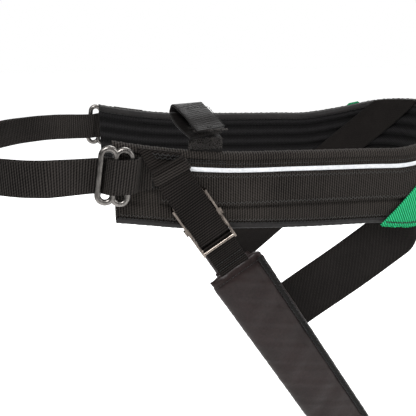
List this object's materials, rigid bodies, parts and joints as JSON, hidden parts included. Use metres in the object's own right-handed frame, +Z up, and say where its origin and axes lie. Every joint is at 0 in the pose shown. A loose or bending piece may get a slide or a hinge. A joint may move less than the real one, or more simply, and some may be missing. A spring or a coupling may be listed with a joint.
{
  "type": "tree climbing saddle",
  "caption": "Padded U-shaped waist belt with front straps, steel adjusters and buckle, a hook-and-loop gear loop, and strapped, sleeved leg loops.",
  "frame": {"origin": "centre of the wearer's waist inside the belt, level with the front ends' middle", "axes": "+X to the wearer's back, +Y to the wearer's right, +Z up"},
  "size_m": [0.4502, 0.243, 0.3429],
  "materials": {
    "belt_fabric": "ribbed woven nylon, matt",
    "binding_fabric": "soft puckered nylon, slight sheen",
    "lining_mesh": "quilted mesh lining with sewn channels",
    "foam": "closed-cell foam, hidden",
    "webbing": "flat ribbed polyester webbing",
    "wear_webbing": "emerald green webbing",
    "reflective": "reflective silver-white piping",
    "steel": "burnished steel",
    "bright_steel": "nickel-plated steel",
    "satin_fabric": "satin-faced nylon",
    "hook_loop": "hook-and-loop tape",
    "spring_steel": "spring steel"
  },
  "bodies": {
    "belt": {"belt_outer_shell": "belt_fabric", "belt_foam_core": "foam", "belt_inner_lining": "lining_mesh", "belt_top_binding": "binding_fabric", "belt_bottom_binding": "binding_fabric", "waist_webbing": "webbing", "reflective_piping": "reflective", "front_buckle_back_plate": "steel", "front_buckle_cover": "steel", "front_buckle_tongue": "bright_steel", "front_buckle_rivets": "bright_steel", "front_buckle_upper_spring": "spring_steel", "front_buckle_lower_spring": "spring_steel", "left_hip_strap_rear": "webbing", "left_hip_wear_layer": "wear_webbing", "left_leg_strap_top": "webbing", "left_leg_strap_tail": "webbing", "left_strap_keeper": "webbing", "left_front_strap": "webbing", "left_front_strap_return": "webbing", "left_hook_loop_base": "hook_loop", "right_hip_strap_rear": "webbing", "right_hip_wear_layer": "wear_webbing", "right_leg_strap_top": "webbing", "right_leg_strap_tail": "webbing", "right_strap_keeper": "webbing", "right_front_strap": "webbing", "right_front_strap_return": "webbing"},
    "left_leg_loop": {"left_leg_strap": "webbing", "left_leg_buckle_frame": "bright_steel", "left_leg_strap_lower": "webbing", "left_leg_sleeve_cover": "satin_fabric", "left_leg_sleeve_foam": "foam", "left_sleeve_closure_tape": "hook_loop", "left_hip_strap": "webbing"},
    "left_slide_bar": {"left_leg_buckle_slide_bar": "bright_steel"},
    "left_ring": {"left_adjuster_ring": "steel"},
    "right_leg_loop": {"right_leg_strap": "webbing", "right_leg_buckle_frame": "bright_steel", "right_leg_strap_lower": "webbing", "right_leg_sleeve_cover": "satin_fabric", "right_leg_sleeve_foam": "foam", "right_sleeve_closure_tape": "hook_loop", "right_hip_strap": "webbing"},
    "right_slide_bar": {"right_leg_buckle_slide_bar": "bright_steel"},
    "right_ring": {"right_adjuster_ring": "steel"},
    "left_loop_flap": {"left_hook_loop_flap": "hook_loop"},
    "upper_button": {"front_buckle_upper_button": "steel"},
    "lower_button": {"front_buckle_lower_button": "steel"}
  },
  "joints": [
    {"name": "left_leg_swing", "type": "hinge", "parent": "belt", "child": "left_leg_loop", "pos_m": [0, -0.1125, -0.002], "axis": [-1, 0, 0], "range_deg": [0, 45]},
    {"name": "left_slide_bar_travel", "type": "slide", "parent": "left_leg_loop", "child": "left_slide_bar", "axis": [-0.5373, 0, 0.8434], "range_m": [-0.001, 0.0032]},
    {"name": "left_ring_rock", "type": "hinge", "parent": "belt", "child": "left_ring", "pos_m": [-0.148, -0.116, 0.0068], "axis": [0.1564, 0, 0.9877], "range_deg": [-4, 4]},
    {"name": "left_flap_peel", "type": "hinge", "parent": "belt", "child": "left_loop_flap", "pos_m": [-0.08635, -0.08562, 0.05185], "axis": [-0.9848, -0.133, -0.1116], "range_deg": [0, 100]},
    {"name": "right_leg_swing", "type": "hinge", "parent": "belt", "child": "right_leg_loop", "pos_m": [0, 0.1125, -0.002], "axis": [1, 0, 0], "range_deg": [0, 45]},
    {"name": "right_slide_bar_travel", "type": "slide", "parent": "right_leg_loop", "child": "right_slide_bar", "axis": [-0.5373, 0, 0.8434], "range_m": [-0.001, 0.0032]},
    {"name": "right_ring_rock", "type": "hinge", "parent": "belt", "child": "right_ring", "pos_m": [-0.148, 0.116, 0.0068], "axis": [0.1564, 0, 0.9877], "range_deg": [-4, 4]},
    {"name": "upper_button_press", "type": "slide", "parent": "belt", "child": "upper_button", "axis": [0, 0, -1], "range_m": [0, 0.003], "stiffness_N_per_m": 400, "deforming": ["front_buckle_upper_spring"]},
    {"name": "lower_button_press", "type": "slide", "parent": "belt", "child": "lower_button", "axis": [0, 0, 1], "range_m": [0, 0.003], "stiffness_N_per_m": 400, "deforming": ["front_buckle_lower_spring"]}
  ]
}
